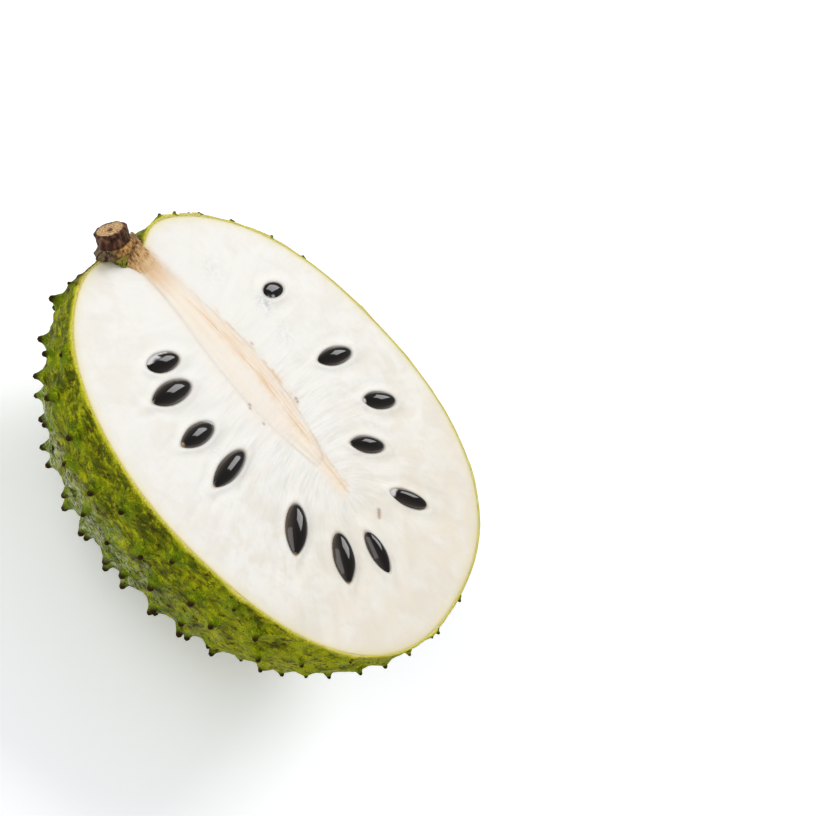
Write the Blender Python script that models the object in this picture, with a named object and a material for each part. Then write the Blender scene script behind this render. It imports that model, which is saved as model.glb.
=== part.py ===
"""Half of a soursop, cut lengthways: spined rind, white pulp, core, stalk and twelve seeds.

Run with: blender --background --python part.py

The fruit is drawn with its cut face level at z = 0 of the fruit's own frame, the blossom end
towards +X and the stalk towards -X. At the end everything is lifted, so that the small flat
spot it rests on lies on the floor, under the middle of the object.
"""

import math
import random

import bmesh
import bpy
from mathutils import Matrix, Vector

TO_METRES = 0.001

# Driving dimensions, in millimetres; object_of turns every mesh into metres
BLOSSOM_REACH = 83.5  # from the middle of the cut face to each end, and to either side
STALK_REACH = 80
HALF_WIDTH = 66
DEPTH = 75
BELLY_LEAN = 0.07  # how much deeper the blossom end is than the stalk end
BLOSSOM_FULLNESS = 2.4  # superellipse exponents: 2 is an ellipse, more is squarer
STALK_FULLNESS = 2.15

# The two shoulders beside the stalk, and the hollow that the stalk sits in
SHOULDER = 4
SHOULDER_WAY = Vector((-0.95, -0.32, 0.0)).normalized()
SHOULDER_SPREAD = math.radians(27)
DENT = 8.5
DENT_WAY = Vector((-0.99, 0.115, 0.02)).normalized()
DENT_SPREAD = math.radians(8)

RIND = 1.6
GAP = 0.3
FLAT_SPOT = 1.3  # how much the bottom is pressed flat
FLOOR = -(DEPTH - FLAT_SPOT)

# Spines: one on each carpel, in golden-angle spirals round the long axis, and the corners of
# the skin between them, which keep clear of the spines
SPINE_COUNT = 350
SPINE_HEIGHT = (3.2, 4.2)
SPINE_BASE = 3.2
SPINE_JITTER = 0.02
SKIN_CORNERS = 1100
CORNER_ROOM = 6.0
GOLDEN_ANGLE = math.pi * (3 - math.sqrt(5))

# Core: a tapered spindle from the hollow at the stalk to two thirds of the way along
CORE_START = Vector((-67.5, 9.0))
CORE_TIP = Vector((30, -1.5))
CORE_BEND = 1.8  # 1 is straight, more stays level with the stalk for longer
CORE_STALK_HALF_WIDTH = 4.5
CORE_BELLY = 5.7  # added half way along
CORE_TIP_HALF_WIDTH = 0.8
CORE_DEPTH = 8

# Stalk: a turned stub with a flared collar, leaning up out of the cut face
STALK_FOOT = Vector((-77.6, 2.2, 0.8))
STALK_WAY = Vector((-0.86, 0.07, 0.51)).normalized()
STALK_RADIUS = 5.4
STALK_LENGTH = 9.6
COLLAR_RADIUS = 7.6
STALK_ROOT = 7
STALK_SIDES = 24

# Seeds: middle x and y, turn of the long axis from +X in degrees, length, width, height of the
# middle over the cut face, and dip of the leading end in degrees
SEED_THICKNESS = 6.0
SEEDS = [
    (-45.5, -18.0, 64, 16.5, 7.0, -1.1, -7),
    (-37.0, -24.0, 70, 18.5, 7.4, -0.3, 0),
    (-22.0, -28.5, 74, 17.5, 7.0, -0.8, 6),
    (-7.3, -30.0, 85, 20.0, 6.8, -0.5, 0),
    (22.5, -28.5, 118, 18.5, 8.2, -0.1, 0),
    (41.5, -23.0, 133, 17.5, 8.2, -0.2, 0),
    (51.0, -10.8, 158, 16.0, 6.6, -0.6, -4),
    (49.5, 16.3, 27, 16.5, 6.0, -0.7, -6),
    (27.7, 21.0, 44, 15.0, 6.2, -0.5, 0),
    (22.5, 39.3, 49, 16.0, 6.6, -0.9, -6),
    (1.2, 39.5, 62, 17.0, 6.4, -0.6, -3),
    (-29.5, 40.5, 64, 15.0, 8.0, -2.3, -4),
]
SEED_RINGS = 8
SEED_SIDES = 14
SEED_POINTEDNESS = 0.34


def clear_scene():
    for item in list(bpy.data.objects):
        bpy.data.objects.remove(item, do_unlink=True)


def finish_of(name, colour, roughness, coat=0.0):
    material = bpy.data.materials.new(name)
    material.use_nodes = True
    shader = material.node_tree.nodes["Principled BSDF"]
    shader.inputs["Base Color"].default_value = (*colour, 1.0)
    shader.inputs["Roughness"].default_value = roughness
    shader.inputs["Metallic"].default_value = 0.0
    shader.inputs["Coat Weight"].default_value = coat
    material.diffuse_color = (*colour, 1.0)
    return material


def object_of(name, bm, material=None, sharp_angle=40):
    """A mesh object in metres from a bmesh in millimetres, with its faces pointing out."""
    bm.normal_update()
    bmesh.ops.recalc_face_normals(bm, faces=bm.faces)
    bm.transform(Matrix.Scale(TO_METRES, 4))
    mesh = bpy.data.meshes.new(name)
    bm.to_mesh(mesh)
    bm.free()
    mesh.shade_smooth()
    mesh.set_sharp_from_angle(angle=math.radians(sharp_angle))
    made = bpy.data.objects.new(name, mesh)
    bpy.context.scene.collection.objects.link(made)
    if material:
        mesh.materials.append(material)
    return made


def as_cutter(tool):
    tool.hide_render = True
    tool.display_type = "WIRE"
    return tool


def cut_away(piece, cutter):
    cut = piece.modifiers.new("cut_" + cutter.name, "BOOLEAN")
    cut.operation = "DIFFERENCE"
    cut.solver = "EXACT"
    cut.object = cutter


# ---------------------------------------------------------------- the fruit's outer form


def outline_radius(angle):
    """From the middle of the cut face to its edge, at an angle from the blossom end."""
    to_blossom = math.cos(angle) > 0
    fullness = BLOSSOM_FULLNESS if to_blossom else STALK_FULLNESS
    half_length = BLOSSOM_REACH if to_blossom else STALK_REACH
    along = abs(math.cos(angle) / half_length) ** fullness
    across = abs(math.sin(angle) / HALF_WIDTH) ** fullness
    return (along + across) ** (-1 / fullness)


def patch(way, middle, spread):
    """1 at the middle of a round patch of the skin, falling smoothly to 0 outside it."""
    return math.exp(-((way.angle(middle) / spread) ** 2))


def on_fruit(way, inset=0.0):
    """The point of the skin, or of a layer under it, that a unit vector from the middle meets."""
    reach = outline_radius(math.atan2(way.y, way.x)) - inset
    reach += SHOULDER * patch(way, SHOULDER_WAY, SHOULDER_SPREAD)
    reach -= DENT * patch(way, DENT_WAY, DENT_SPREAD)
    depth = (DEPTH - inset) * (1 + BELLY_LEAN * way.x)
    return Vector((reach * way.x, reach * way.y, depth * way.z))


def rest_on_floor(point, inset=0.0):
    """Presses a point that would reach below the flat spot up into it."""
    point.z = max(point.z, FLOOR + inset)
    return point


def layer(inset, fineness=4):
    """A closed smooth body: the whole fruit, smaller by an inset all round."""
    bm = bmesh.new()
    bmesh.ops.create_icosphere(bm, subdivisions=fineness, radius=1.0)
    for vert in bm.verts:
        vert.co = rest_on_floor(on_fruit(vert.co.normalized(), inset), inset)
    return bm


def halve(bm):
    """Keeps what lies under the cut face and closes it with the cut."""
    everything = list(bm.verts) + list(bm.edges) + list(bm.faces)
    cut = bmesh.ops.bisect_plane(
        bm, geom=everything, dist=1e-4, plane_co=(0, 0, 0), plane_no=(0, 0, 1), clear_outer=True
    )
    rim = [part for part in cut["geom_cut"] if isinstance(part, bmesh.types.BMEdge)]
    bmesh.ops.contextual_create(bm, geom=rim)


def spiral_ways(count, chance, jitter):
    """Unit vectors in a golden-angle spiral round the X axis, slightly disturbed."""
    for number in range(count):
        along = 1 - 2 * (number + 0.5) / count
        round_axis = number * GOLDEN_ANGLE
        ring = math.sqrt(1 - along * along)
        way = Vector((along, ring * math.cos(round_axis), ring * math.sin(round_axis)))
        way += Vector(chance.gauss(0, jitter) for _ in range(3))
        yield way.normalized()


def spined_body():
    """The closed body of the whole fruit with a spine on every carpel."""
    chance = random.Random(7)
    bm = bmesh.new()
    spines = [bm.verts.new(way) for way in spiral_ways(SPINE_COUNT, chance, SPINE_JITTER)]
    nearest_corner = math.cos(CORNER_ROOM / HALF_WIDTH)
    for way in spiral_ways(SKIN_CORNERS, chance, SPINE_JITTER / 2):
        if all(way.dot(spine.co) < nearest_corner for spine in spines):
            bm.verts.new(way)
    bmesh.ops.convex_hull(bm, input=bm.verts)
    base = SPINE_BASE / HALF_WIDTH
    carpels = bmesh.ops.bevel(
        bm, geom=spines, offset=base, offset_type="OFFSET", affect="VERTICES", segments=1
    )
    tips = bmesh.ops.poke(bm, faces=carpels["faces"])["verts"]
    heights = {vert: chance.uniform(*SPINE_HEIGHT) for vert in tips}
    for vert in bm.verts:
        way = vert.co.normalized()
        place = on_fruit(way)
        if vert in heights:
            outward = Vector(
                (place.x / BLOSSOM_REACH**2, place.y / HALF_WIDTH**2, place.z / DEPTH**2)
            )
            place += outward.normalized() * heights[vert]
        vert.co = rest_on_floor(place)
    return bm


# ---------------------------------------------------------------- pieces


def stalk_body(name, swell=0.0, material=None):
    """The stub turned round its own axis, or a socket for it, larger by a swell all round."""
    outline = [
        (0.0, -STALK_ROOT - swell),
        (0.5 * COLLAR_RADIUS + swell, -STALK_ROOT - swell),
        (0.6 * COLLAR_RADIUS + swell, -0.35 * STALK_ROOT),
        (0.95 * COLLAR_RADIUS + swell, -0.12 * STALK_ROOT),
        (COLLAR_RADIUS + swell, 0.06 * STALK_LENGTH),
        (0.93 * COLLAR_RADIUS + swell, 0.16 * STALK_LENGTH),
        (1.15 * STALK_RADIUS + swell, 0.26 * STALK_LENGTH),
        (1.02 * STALK_RADIUS + swell, 0.42 * STALK_LENGTH),
        (0.96 * STALK_RADIUS + swell, 0.67 * STALK_LENGTH),
        (STALK_RADIUS + swell, 0.95 * STALK_LENGTH),
        (0.93 * STALK_RADIUS + swell, STALK_LENGTH + swell),
        (0.0, STALK_LENGTH + swell),
    ]
    bm = bmesh.new()
    profile = [bm.verts.new((radius, 0, height)) for radius, height in outline]
    edges = [bm.edges.new(pair) for pair in zip(profile, profile[1:])]
    bmesh.ops.spin(
        bm,
        geom=profile + edges,
        cent=(0, 0, 0),
        axis=(0, 0, 1),
        angle=2 * math.pi,
        steps=STALK_SIDES,
        use_merge=True,
    )
    bmesh.ops.remove_doubles(bm, verts=bm.verts, dist=1e-3)
    turn = Vector((0, 0, 1)).rotation_difference(STALK_WAY).to_matrix().to_4x4()
    bm.transform(Matrix.Translation(STALK_FOOT) @ turn)
    return object_of(name, bm, material)


def core_line(share):
    """Middle and half width of the core at a share of its length from the stalk."""
    middle = Vector(
        (
            CORE_START.x + (CORE_TIP.x - CORE_START.x) * share,
            CORE_START.y + (CORE_TIP.y - CORE_START.y) * share**CORE_BEND,
        )
    )
    belly = CORE_BELLY * max(0.0, math.sin(math.pi * share**1.1)) ** 1.5
    half_width = CORE_STALK_HALF_WIDTH * (1 - share**3) + belly
    return middle, max(half_width, CORE_TIP_HALF_WIDTH)


def core_body(name, swell=0.0, material=None, top=0.0):
    """The lower half of a spindle, or the channel for it, larger by a swell all round."""
    widest = CORE_STALK_HALF_WIDTH + CORE_BELLY
    rings, sides = 20, 10
    bm = bmesh.new()
    loops = []
    for ring in range(rings + 1):
        share = ring / rings
        middle, half_width = core_line(share)
        deep = CORE_DEPTH * half_width / widest + swell
        half_width += swell
        along = middle.x + swell * (2 * share - 1)
        loop = []
        for side in range(sides + 1):
            turn = math.pi * side / sides
            place = (along, middle.y + half_width * math.cos(turn), -deep * math.sin(turn))
            loop.append(bm.verts.new(place))
        if top > 0:
            loop.append(bm.verts.new((along, middle.y - half_width, top)))
            loop.append(bm.verts.new((along, middle.y + half_width, top)))
        loops.append(loop)
    for first, second in zip(loops, loops[1:]):
        for here in range(len(first)):
            there = (here + 1) % len(first)
            bm.faces.new((first[here], first[there], second[there], second[here]))
    bm.faces.new(loops[0])
    bm.faces.new(reversed(loops[-1]))
    return object_of(name, bm, material)


def seed_body(name, seed, swell=0.0, material=None):
    """A flattened drop, blunt at one end, lying in its socket in the pulp."""
    x, y, turn, length, width, height, dip = seed
    bm = bmesh.new()
    bmesh.ops.create_uvsphere(bm, u_segments=SEED_SIDES, v_segments=SEED_RINGS, radius=1.0)
    half = Vector((length / 2, width / 2, SEED_THICKNESS / 2))
    for vert in bm.verts:
        end = vert.co.z
        slim = 1 - SEED_POINTEDNESS * max(0.0, -end) ** 2
        vert.co = Vector(
            (
                end * (half.x + swell),
                vert.co.x * slim * (half.y + swell),
                vert.co.y * slim * (half.z + swell),
            )
        )
    turned = Matrix.Rotation(math.radians(turn), 4, "Z") @ Matrix.Rotation(math.radians(dip), 4, "Y")
    bm.transform(Matrix.Translation(Vector((x, y, height))) @ turned)
    return object_of(name, bm, material, sharp_angle=80)


def make_rind(material, stalk_socket):
    body = spined_body()
    halve(body)
    rind = object_of("rind", body, material)
    inside = as_cutter(object_of("rind_inside", layer(RIND)))
    cut_away(rind, inside)
    cut_away(rind, stalk_socket)
    return rind


def make_flesh(material, stalk_socket, sockets):
    body = layer(RIND + GAP)
    halve(body)
    flesh = object_of("flesh", body, material)
    for socket in [stalk_socket, *sockets]:
        cut_away(flesh, socket)
    return flesh


def make_core(material, stalk_socket):
    core = core_body("core", material=material)
    cut_away(core, stalk_socket)
    return core


def make_seeds(material):
    return [
        seed_body(f"seed_{number:02d}", seed, material=material)
        for number, seed in enumerate(SEEDS, start=1)
    ]


def seed_sockets():
    return [
        as_cutter(seed_body(f"socket_{number:02d}", seed, swell=GAP))
        for number, seed in enumerate(SEEDS, start=1)
    ]


def stand_on_floor(pieces):
    """Hangs the pieces on one empty that sets the flat spot on z = 0 and centres the whole in x and y."""
    bpy.context.view_layer.update()
    graph = bpy.context.evaluated_depsgraph_get()
    low = Vector((math.inf,) * 3)
    high = Vector((-math.inf,) * 3)
    for piece in pieces:
        for corner in piece.evaluated_get(graph).bound_box:
            low = Vector(map(min, low, corner))
            high = Vector(map(max, high, corner))
    stand = bpy.data.objects.new("stand", None)
    bpy.context.scene.collection.objects.link(stand)
    stand.location = (-(low.x + high.x) / 2, -(low.y + high.y) / 2, -low.z)
    return stand


def main():
    clear_scene()
    skin = finish_of("waxy_green_rind", (0.16, 0.26, 0.03), 0.45)
    pulp = finish_of("wet_white_pulp", (0.88, 0.86, 0.8), 0.35, coat=0.2)
    fibre = finish_of("pale_core_fibre", (0.85, 0.7, 0.52), 0.5)
    shell = finish_of("polished_black_seed", (0.012, 0.01, 0.009), 0.12, coat=0.5)
    bark = finish_of("dry_brown_bark", (0.13, 0.07, 0.035), 0.8)

    stalk_socket = as_cutter(stalk_body("stalk_socket", swell=GAP))
    core_channel = as_cutter(core_body("core_channel", swell=GAP, top=4))
    rind = make_rind(skin, stalk_socket)
    flesh = make_flesh(pulp, stalk_socket, [core_channel, *seed_sockets()])
    core = make_core(fibre, stalk_socket)
    stem = stalk_body("stem", material=bark)
    pieces = [rind, flesh, core, stem, *make_seeds(shell)]

    stand = stand_on_floor(pieces)
    for item in list(bpy.context.scene.objects):
        if item is not stand:
            item.parent = stand


main()
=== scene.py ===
"""Half of a soursop, cut lengthways: the finished looks of its rind, pulp, core, stalk and seeds.

The forms are the ones that the packed solids have, drawn finer. They are worked out round the
middle of the cut face, with +X towards the blossom end and the stalk at -X, and are moved to
their place in the frame when a mesh is made.
"""

import math
import random

import bmesh
import bpy
import numpy as np
from bpy.props import FloatProperty, FloatVectorProperty, PointerProperty
from mathutils import Matrix, Vector, noise
from mathutils.kdtree import KDTree


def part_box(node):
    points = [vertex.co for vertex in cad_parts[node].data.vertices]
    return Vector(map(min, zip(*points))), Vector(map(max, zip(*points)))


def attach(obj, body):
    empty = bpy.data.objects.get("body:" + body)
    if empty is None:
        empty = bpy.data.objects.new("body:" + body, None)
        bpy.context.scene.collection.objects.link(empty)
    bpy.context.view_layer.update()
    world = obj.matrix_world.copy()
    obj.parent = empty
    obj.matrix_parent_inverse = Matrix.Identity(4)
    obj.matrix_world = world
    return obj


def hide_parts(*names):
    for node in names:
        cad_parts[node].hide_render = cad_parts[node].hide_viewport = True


bl_info = {
    "name": "Soursop Half",
    "version": (1, 0, 0),
    "blender": (4, 5, 0),
    "location": "View3D > Sidebar > Soursop",
    "description": "Builds half of a soursop, cut lengthways, round its packed solids",
    "category": "Object",
}

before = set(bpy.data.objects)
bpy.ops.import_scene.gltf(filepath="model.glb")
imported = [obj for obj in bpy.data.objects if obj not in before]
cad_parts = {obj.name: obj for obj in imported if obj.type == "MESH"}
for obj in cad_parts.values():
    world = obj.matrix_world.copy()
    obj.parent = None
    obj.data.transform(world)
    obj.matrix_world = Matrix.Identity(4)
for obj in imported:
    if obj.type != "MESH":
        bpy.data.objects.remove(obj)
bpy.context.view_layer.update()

MM = 0.001

# The fruit's outer form, as the packed solids have it
BLOSSOM_REACH = 83.5 * MM
STALK_REACH = 80 * MM
HALF_WIDTH = 66 * MM
DEPTH = 75 * MM
BELLY_LEAN = 0.07  # how much deeper it is at the blossom end, as a share of its depth
BLOSSOM_FULLNESS = 2.4
STALK_FULLNESS = 2.15

# One side of the stalk is fuller, and the stalk stands in a dent
SHOULDER = 4 * MM
SHOULDER_WAY = Vector((-0.95, -0.32, 0.0)).normalized()
SHOULDER_SPREAD = math.radians(27)
DENT = 8.5 * MM
DENT_WAY = Vector((-0.99, 0.115, 0.02)).normalized()
DENT_SPREAD = math.radians(8)

RIND = 1.6 * MM
GAP = 0.3 * MM  # between the rind's inner wall and the pulp's packed solid
FLOOR = -(DEPTH - 1.3 * MM)  # the flat spot under the half

SPINE_COUNT = 350
RIM_SPINES = (154, 146, 136.5, 124, 113, 1, -11, -22)  # tiny ones at the cut, degrees round it
SPINE_JITTER = 0.02
GOLDEN_ANGLE = math.pi * (3 - math.sqrt(5))
CUT_SPINE_SHARE = 0.45  # of their full size that spines have at the cut
BLOSSOM_SPINE_LOSS = 0.32  # share of their size that spines lose towards the blossom end
CUT_CLEARANCE = 1.3 * MM  # no spine's foot is nearer to the cut
STALK_CLEARANCE = 19 * MM  # nor to the stalk's foot

# The skin's unevenness between the spines: share, width of its bumps, number for its noise
LUMPS = ((1.1, 8 * MM, 2), (0.6, 3.5 * MM, 3), (0.25, 1.6 * MM, 4))
CUT_CALM = 0.9  # share of the unevenness that the skin loses at the cut

CORE_START = Vector((-67.5, 9.0)) * MM
CORE_TIP = Vector((30, -1.5)) * MM
CORE_BEND = 1.8
CORE_STALK_HALF_WIDTH = 4.5 * MM
CORE_BELLY = 5.7 * MM
CORE_TIP_HALF_WIDTH = 0.8 * MM
CORE_DEPTH = 8 * MM
CORE_PROUD = 0.1 * MM
CORE_GRAIN = 0.22 * MM
CORE_GROOVE = 0.08 * MM

# The pulp's swell, and the size of its coarse and fine fibres along and across them
PULP_SWELL = 0.2 * MM
COARSE_FIBRE = (8 * MM, 2.2 * MM, 2.2 * MM)
FINE_FIBRE = (5 * MM, 0.8 * MM, 0.8 * MM)

STALK_FOOT = Vector((-77.6, 2.2, 0.8)) * MM
STALK_WAY = Vector((-0.86, 0.07, 0.51)).normalized()
STALK_RADIUS = 5.4 * MM
STALK_LENGTH = 9.6 * MM
COLLAR_RADIUS = 7.1 * MM
COLLAR_WAY = Vector((-0.35, -0.75, -0.55))  # the side on which the collar is left whole
SKIN_WAY = Vector((0.6, -0.8, -0.2))  # the side on which the skin climbs the stalk

SEED_THICKNESS = 6.0 * MM
SEED_POINTEDNESS = 0.34
SOCKET_DEPTH = 2.6 * MM
SOCKET_RING = 0.1 * MM  # depth of the faint hollow round the lip of a seed's socket
SEED_SEAM = 0.025  # how proud the seam round a seed is, as a share of its half width
SEED_UNEVENNESS = 0.03

# Seeds: middle x and y, turn of the long axis from +X in degrees, length, width, height of the
# middle over the cut face, dip of the leading end in degrees; all lengths in millimetres
SEEDS = [
    (-45.5, -18.0, 64, 16.5, 7.0, -1.1, -7),
    (-37.0, -24.0, 70, 18.5, 7.4, -0.3, 0),
    (-22.0, -28.5, 74, 17.5, 7.0, -0.8, 6),
    (-7.3, -30.0, 85, 20.0, 6.8, -0.5, 0),
    (22.5, -28.5, 118, 18.5, 8.2, -0.1, 0),
    (41.5, -23.0, 133, 17.5, 8.2, -0.2, 0),
    (51.0, -10.8, 158, 16.0, 6.6, -0.6, -4),
    (49.5, 16.3, 27, 16.5, 6.0, -0.7, -6),
    (27.7, 21.0, 44, 15.0, 6.2, -0.5, 0),
    (22.5, 39.3, 49, 16.0, 6.6, -0.9, -6),
    (1.2, 39.5, 62, 17.0, 6.4, -0.6, -3),
    (-29.5, 40.5, 64, 15.0, 8.0, -2.3, -4),
]

# Small brown marks of the cut face: place and radius in millimetres, share
FLECKS = [
    (43.3, 3.5, 0.7, 1),
    (43.7, 2.9, 0.7, 1),
    (44.0, 2.3, 0.65, 1),
    (44.4, 1.7, 0.6, 1),
    (44.7, 1.1, 0.5, 1),
    (-1.6, 13.2, 0.6, 1),
    (-0.6, 12.7, 0.5, 1),
    (-13.5, -3.7, 0.6, 1),
    (-12.8, -4.6, 0.5, 1),
    (-24.6, 16.9, 0.5, 1),
    (-6.0, -5.2, 0.5, 1),
]

# Spots of grey-blue painted shade on the pulp: place and radius in millimetres, share
PAINTED_SHADE_SPOTS = [
    (-28.7, 34.6, 3.2, 0.85),
    (-16.5, 31.0, 4.0, 0.25),
    (-50.0, 28.0, 5.0, 0.2),
    (-13.0, -28.5, 2.0, 0.3),
]

# The middle of the cut face, from the pulp's packed solid
PULP_LOW, PULP_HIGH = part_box("flesh")
MIDDLE = Vector(
    (
        PULP_HIGH.x - (BLOSSOM_REACH - RIND - GAP),
        (PULP_LOW.y + PULP_HIGH.y) / 2,
        PULP_HIGH.z,
    )
)

# Where the camera stands, from the middle of the cut face, and how it is rolled
CAMERA_WAY = Vector((-0.208, -0.674, 0.709)).normalized()
CAMERA_UP = Vector((-0.686, 0.617, 0.385)).normalized()
CAMERA_DISTANCE = 0.979


def linear(hex_colour):
    """An sRGB hex colour such as #A0B0C0 as linear red, green and blue."""
    channels = [int(hex_colour[at : at + 2], 16) / 255 for at in (1, 3, 5)]
    return tuple(c / 12.92 if c <= 0.04045 else ((c + 0.055) / 1.055) ** 2.4 for c in channels)


def colour_property(name, description, hex_colour):
    colour = linear(hex_colour)
    return FloatVectorProperty(
        name=name, description=description, subtype="COLOR", min=0, max=1, default=colour
    )


def length_property(name, description, millimetres):
    length = millimetres * MM
    return FloatProperty(
        name=name, description=description, unit="LENGTH", min=0, precision=5, default=length
    )


def power_property(name, description, watts):
    return FloatProperty(name=name, description=description, unit="POWER", min=0, default=watts)


# ---------------------------------------------------------------- what a user would change


class SoursopRindSettings(bpy.types.PropertyGroup):
    """Sizes and colours of the rind and its spines"""

    spine_height: length_property("Spine height", "From the skin to the top of a knob", 4.8)
    flare: length_property("Flare", "How high the skin rises round a spine", 3.6)
    flare_reach: length_property("Flare reach", "How far the rise spreads over the skin", 3.0)
    neck: length_property("Neck radius", "Radius of a spine just under its knob", 0.85)
    knob: length_property("Knob radius", "Radius of the dark knob of a spine", 0.98)
    hook: length_property("Hook", "How far a spine's tip bends sideways", 0.7)
    lumps: length_property("Lumps", "How uneven the skin is between the spines", 1.15)
    green: colour_property("Green", "Most of the skin", "#80880D")
    # Deep green is also painted into the hollows between the flares, as painted shade
    deep_green: colour_property("Deep green", "Darker patches and the hollows", "#2B2706")
    # Lime is also laid, as painted light, over the skin towards the blossom end
    lime: colour_property("Lime", "Yellow-green patches and the underside", "#BABD10")
    yellow: colour_property("Yellow", "Flecks of the skin", "#C0B522")
    # Spine green is the flares' own colour, laid round each spine partly as painted shade that shows
    # their relief
    spine_green: colour_property("Spine green", "The flares of the spines", "#627C0E")
    # Pale streaks painted on as sheen: light that the waxy skin catches at grazing angles
    painted_sheen: colour_property("Bloom", "Pale waxy streaks", "#C6CAAF")
    cut_edge: colour_property("Cut edge", "Bright line of the cut rind", "#E4D94E")
    cut_pale: colour_property("Inner edge", "Where the cut rind turns into pulp", "#EEE298")
    speck: colour_property("Speck", "Brown specks and scabs", "#46300F")
    knob_colour: colour_property("Knob", "The dry knobs of the spines", "#33230E")


class SoursopPulpSettings(bpy.types.PropertyGroup):
    """Sizes and colours of the pulp and the core"""

    fibre_depth: length_property("Fibre depth", "Height of the pulp's fibres", 0.05)
    lip: length_property("Seed lip", "How far the pulp swells up round a seed", 0.15)
    white: colour_property("White", "Most of the pulp", "#F0EEE8")
    grey: colour_property("Grey", "Wet hollows between the fibres", "#DDDBD5")
    glassy: colour_property("Glassy", "Translucent ripe patches", "#E4DED1")
    cream: colour_property("Cream", "Pulp towards the blossom end and the rind", "#EBE1CF")
    # Grey-blue painted shade on the pulp
    seed_contact_shadow: colour_property("Halo", "Pulp stained by a seed", "#8C7458")
    # A painted contact shadow: a narrow brownish ring on the pulp round each seed
    painted_shade_spot: colour_property("Smudge", "Seeds that show through the pulp", "#BFC3CC")
    fleck: colour_property("Fleck", "Small brown marks", "#8A5A28")
    edge: colour_property("Edge", "Pulp next to the rind", "#ECDD96")
    peach: colour_property("Peach", "The core", "#F3E3CE")
    tan: colour_property("Tan", "Darker lines of the core and its stalk end", "#D9A868")


class SoursopSeedSettings(bpy.types.PropertyGroup):
    """Finish of the seeds"""

    roughness: FloatProperty(
        name="Roughness", description="0 is a mirror", subtype="FACTOR", min=0, max=1, default=0.1
    )
    black: colour_property("Black", "The hard coat", "#0C0907")
    # The edge band is a painted reflection: the pulp mirrored grey-brown on the seed's steep sides
    edge: colour_property("Edge", "The band round the seed's edge", "#433B37")
    scar: colour_property("Scar", "Where the seed was attached", "#A98A63")
    film: colour_property("Film", "Pulp that still clings to a seed", "#CFCED0")


class SoursopStalkSettings(bpy.types.PropertyGroup):
    """Sizes and colours of the stalk"""

    ridge: length_property("Ridge", "Depth of the bark's ridges", 0.55)
    bark: colour_property("Bark", "Dry bark", "#45291A")
    bark_dark: colour_property("Bark furrow", "The bottom of the bark's furrows", "#1C0E06")
    bark_light: colour_property("Bark ridge", "Worn ridges of the bark", "#7C5A42")
    collar: colour_property("Collar", "The lip left round the stalk's foot", "#5F5036")
    skin: colour_property("Skin", "The fruit's skin where it climbs the stalk's foot", "#A6A038")
    torn: colour_property("Torn fibre", "Fibres torn out of the notch", "#CE9C58")
    torn_light: colour_property("Torn fibre light", "Raised torn fibres", "#EDCB95")
    torn_end: colour_property("Torn fibre end", "Where the torn fibres meet the core", "#E8C699")
    # Torn fibre dark is also painted into the torn bed's holes as painted shade, and laid darker
    # towards the stalk
    torn_dark: colour_property("Torn fibre dark", "Hollows between torn fibres", "#5E3C18")
    wood: colour_property("Cut wood", "The cut end", "#CFAC7C")
    pith: colour_property("Pith", "Pores and the pith", "#76502C")


class SoursopStageSettings(bpy.types.PropertyGroup):
    """Floor, lights and camera"""

    key_power: power_property("Key", "Softbox behind and above", 28)
    fill_power: power_property("Fill", "Softbox at the front left", 55)
    top_power: power_property("Top", "Wide soft light overhead", 7)
    surround: FloatProperty(
        name="Surround", description="Light from the room", subtype="FACTOR", min=0, max=2, default=0.25
    )
    lens: FloatProperty(name="Lens", description="Focal length", unit="CAMERA", default=132.4)
    glow: FloatProperty(name="Glow", description="Light from the floor", min=0, max=2, default=0.27)
    floor: colour_property("Floor", "Colour of the floor", "#FAFBFF")


SETTINGS = {
    "soursop_rind": SoursopRindSettings,
    "soursop_pulp": SoursopPulpSettings,
    "soursop_seeds": SoursopSeedSettings,
    "soursop_stalk": SoursopStalkSettings,
    "soursop_stage": SoursopStageSettings,
}


# ---------------------------------------------------------------- helpers


def set_inputs(tree, node, inputs):
    """Gives inputs of a node, by name or number, their values or links."""
    for socket, value in inputs.items():
        if isinstance(value, bpy.types.NodeSocket):
            tree.links.new(value, node.inputs[socket])
        else:
            node.inputs[socket].default_value = value


def add(tree, kind, inputs=None, output=0, **settings):
    """Adds a node with its settings, values and links, and returns one of its outputs."""
    node = tree.nodes.new(kind)
    for name, value in settings.items():
        setattr(node, name, value)
    set_inputs(tree, node, inputs or {})
    return node.outputs[output]


def opaque(colour):
    return (*colour, 1.0)


def smooth_step(value, start, end):
    share = np.clip((value - start) / (end - start), 0, 1)
    return share * share * (3 - 2 * share)


def bell(off, width, power=2):
    """1 where off is 0, falling to 0 past the width, and more squarely with a larger power."""
    return np.exp(-(np.abs(off / width) ** power))


def bumps(points, size, seed):
    """Smooth random values round zero, one for each point, whose bumps are about size across."""
    shift = Vector((seed * 7.31, seed * 3.17, seed * 5.73))
    return np.array([noise.noise(shift + Vector(point)) for point in np.asarray(points) / size])


def on_level(flat):
    """Points of the cut face's own plane."""
    return np.column_stack((flat, 0 * flat[:, 0]))


def ways_at(angle, rise=0.0):
    """Vectors from the middle at angles round the cut face, from the blossom end."""
    return np.column_stack((np.cos(angle), np.sin(angle), 0 * angle + rise))


def drawn_in(points, far):
    """Points moved towards the middle."""
    return points * (1 - far / np.linalg.norm(points, axis=1, keepdims=True))


def quads_of(grid):
    """Quads between the neighbours in a grid of point numbers."""
    corners = (grid[:-1, :-1], grid[1:, :-1], grid[1:, 1:], grid[:-1, 1:])
    return np.stack(corners, axis=-1).reshape(-1, 4).tolist()


def edge_of(grid):
    """The loop of point numbers round a grid of them."""
    return np.concatenate((grid[:-1, 0], grid[-1, :-1], grid[:0:-1, -1], grid[0, :0:-1]))


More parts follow.
